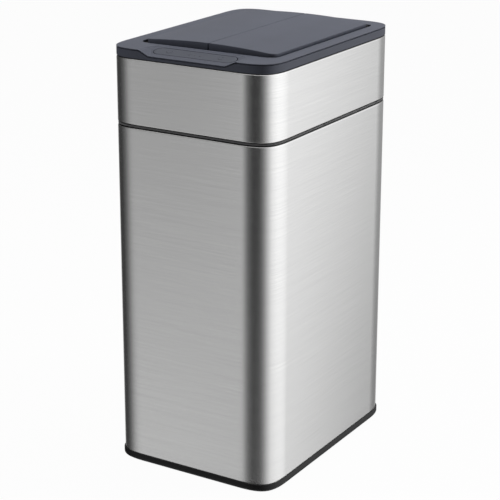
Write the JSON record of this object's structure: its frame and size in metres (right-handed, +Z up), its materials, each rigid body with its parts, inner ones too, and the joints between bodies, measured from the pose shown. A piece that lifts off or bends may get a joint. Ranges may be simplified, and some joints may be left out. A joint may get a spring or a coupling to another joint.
{
  "type": "sensor trash can",
  "caption": "Rectangular stainless steel kitchen bin with a lift-off lid whose two doors open upwards when a sensor or a button asks.",
  "frame": {"origin": "centre of the plan, on the floor", "axes": "+Z up, front towards -Y, +X to the bin's left as it faces the user"},
  "size_m": [0.2786, 0.3756, 0.6535],
  "materials": {
    "steel": "fine horizontal brushing",
    "slate_plastic": "fine satin",
    "panel_plastic": "satin",
    "black_plastic": "satin",
    "rim_plastic": "satin",
    "rubber": "matt",
    "plated_steel": "dull zinc plate",
    "black_steel": "black oxide",
    "nylon": "plain, black",
    "board": "satin lacquer",
    "lens": "smooth",
    "light": "clear",
    "switch_black": "plain",
    "cell": "satin",
    "contact": "bright",
    "wire": "plain"
  },
  "bodies": {
    "bin": {"base_ring": "black_plastic", "foot_pads": "rubber", "base_screws": "plated_steel", "body_shell": "steel", "base_flange": "plated_steel", "floor_plate": "plated_steel", "body_rim": "rim_plastic"},
    "lid": {"collar_shell": "steel", "collar_rim": "rim_plastic", "lid_frame": "slate_plastic", "top_cover": "slate_plastic", "sensor_panel": "panel_plastic", "sensor_lenses": "lens", "indicator_light": "light", "infrared_emitter": "lens", "infrared_receiver": "lens", "circuit_board": "board", "tact_switches": "switch_black", "throat_liner": "black_plastic", "underside_cover": "black_plastic", "cover_screws": "plated_steel", "battery_box": "black_plastic", "battery_cells": "cell", "contact_plates": "contact", "dc_socket": "black_plastic", "switch_housing": "black_plastic", "right_gear_motor": "black_plastic", "left_gear_motor": "black_plastic", "motor_screws": "plated_steel", "wiring_looms": "wire", "battery_leads": "wire"},
    "right_door": {"right_door_panel": "slate_plastic", "right_door_liner": "black_plastic", "right_hinge_shaft": "black_steel", "right_sector_gear": "nylon"},
    "left_door": {"left_door_panel": "slate_plastic", "left_door_liner": "black_plastic", "left_hinge_shaft": "black_steel", "left_sector_gear": "nylon"},
    "right_pinion": {"right_drive_pinion": "nylon"},
    "left_pinion": {"left_drive_pinion": "nylon"},
    "open_button": {"open_button": "panel_plastic"},
    "close_button": {"close_button": "panel_plastic"},
    "power_switch": {"power_switch": "black_plastic"},
    "battery_cover": {"battery_cover": "black_plastic"},
    "bag_ring": {"bag_ring": "black_plastic"}
  },
  "joints": [
    {"name": "lid_lift", "type": "slide", "parent": "bin", "child": "lid", "axis": [0, 0, 1], "range_m": [0, 0.15]},
    {"name": "right_door_hinge", "type": "hinge", "parent": "lid", "child": "right_door", "pos_m": [0.104, 0.012, 0.641], "axis": [0, 1, 0], "range_deg": [0, 80]},
    {"name": "left_door_hinge", "type": "hinge", "parent": "lid", "child": "left_door", "pos_m": [-0.104, 0.012, 0.641], "axis": [0, 1, 0], "range_deg": [-80, 0]},
    {"name": "right_pinion_spin", "type": "hinge", "parent": "lid", "child": "right_pinion", "pos_m": [0.104, 0.158, 0.61805], "axis": [0, 1, 0], "range_deg": [-160, 0]},
    {"name": "left_pinion_spin", "type": "hinge", "parent": "lid", "child": "left_pinion", "pos_m": [-0.104, 0.158, 0.61805], "axis": [0, 1, 0], "range_deg": [0, 160]},
    {"name": "open_button_press", "type": "slide", "parent": "lid", "child": "open_button", "axis": [0, 0.189, -0.982], "range_m": [0, 0.001], "stiffness_N_per_m": 300, "springref_m": -0.001},
    {"name": "close_button_press", "type": "slide", "parent": "lid", "child": "close_button", "axis": [0, 0.189, -0.982], "range_m": [0, 0.001], "stiffness_N_per_m": 300, "springref_m": -0.001},
    {"name": "power_switch_rock", "type": "hinge", "parent": "lid", "child": "power_switch", "pos_m": [0.036, 0.183, 0.6372], "axis": [1, 0, 0], "range_deg": [0, 14]},
    {"name": "battery_cover_off", "type": "slide", "parent": "lid", "child": "battery_cover", "axis": [0, 0, -1], "range_m": [0, 0.012]},
    {"name": "bag_ring_lift", "type": "slide", "parent": "bin", "child": "bag_ring", "axis": [0, 0, 1], "range_m": [0, 0.012]}
  ],
  "couplings": [
    {"joint": "left_door_hinge", "follows": "right_door_hinge", "ratio": -1},
    {"joint": "right_pinion_spin", "follows": "right_door_hinge", "ratio": -2},
    {"joint": "left_pinion_spin", "follows": "right_door_hinge", "ratio": 2}
  ]
}
